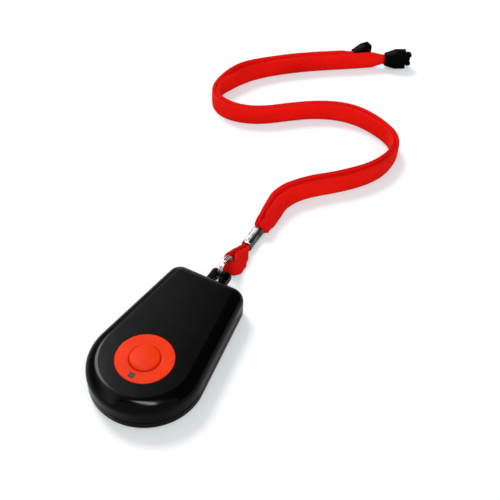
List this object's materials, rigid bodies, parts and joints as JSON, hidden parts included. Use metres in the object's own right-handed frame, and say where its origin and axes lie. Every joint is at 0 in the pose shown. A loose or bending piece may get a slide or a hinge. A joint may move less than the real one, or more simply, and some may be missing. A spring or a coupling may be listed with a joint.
{
  "type": "nurse call pendant",
  "caption": "Pocket-size nurse call pendant: glossy black case with a domed red button in a red disc, split ring in the end eye, and a flat red lanyard with an open safety clasp",
  "frame": {"origin": "on the flat back, under the centre of the case's round end", "axes": "+X to the right seen from the front, +Y along the case to the end with the eye, +Z out of the front"},
  "size_m": [0.1094, 0.2876, 0.0159],
  "materials": {
    "housing": "moulded glossy black",
    "seal": "matte",
    "screw": "zinc plated",
    "red_plastic": "satin orange-red",
    "smoked_window": "smoked, translucent",
    "board": "green solder mask",
    "component_black": "moulded matte black",
    "lamp": "diffused",
    "plated_can": "nickel plated",
    "ceramic": "fired ceramic",
    "tinned_wire": "tinned",
    "cell": "satin steel",
    "contact": "nickel-plated spring sheet",
    "ring": "bright nickel plate",
    "strap": "woven polyester tape, red",
    "crimp": "nickel plate",
    "clasp": "moulded black"
  },
  "bodies": {
    "case": {"front_cover": "housing", "rear_cover": "housing", "case_seal": "seal", "case_screws": "screw", "button_disc": "red_plastic", "led_window": "smoked_window", "circuit_board": "board", "switch_body": "component_black", "indicator_led": "lamp", "controller_chip": "component_black", "radio_chip": "component_black", "crystal": "plated_can", "chip_capacitors": "ceramic", "aerial": "tinned_wire", "coin_cell": "cell", "battery_clip_positive": "contact", "battery_contact_negative": "contact"},
    "button": {"call_button": "red_plastic", "switch_plunger": "component_black"},
    "ring": {"split_ring": "ring"},
    "lanyard": {"lanyard_strap": "strap", "lanyard_crimp": "crimp", "clasp_socket": "clasp", "clasp_plug": "clasp"}
  },
  "joints": [
    {"name": "button_press", "type": "slide", "parent": "case", "child": "button", "axis": [0, 0, -1], "range_m": [0, 0.0006], "stiffness_N_per_m": 2000, "springref_m": -0.0006},
    {"name": "ring_swing", "type": "hinge", "parent": "case", "child": "ring", "pos_m": [0, 0.0594, 0.0049], "axis": [1, 0, 0], "range_deg": [0, 100]},
    {"name": "lanyard_swing", "type": "hinge", "parent": "ring", "child": "lanyard", "pos_m": [0, 0.06755, 0.006], "axis": [0, 0, 1], "range_deg": [-45, 45]}
  ]
}
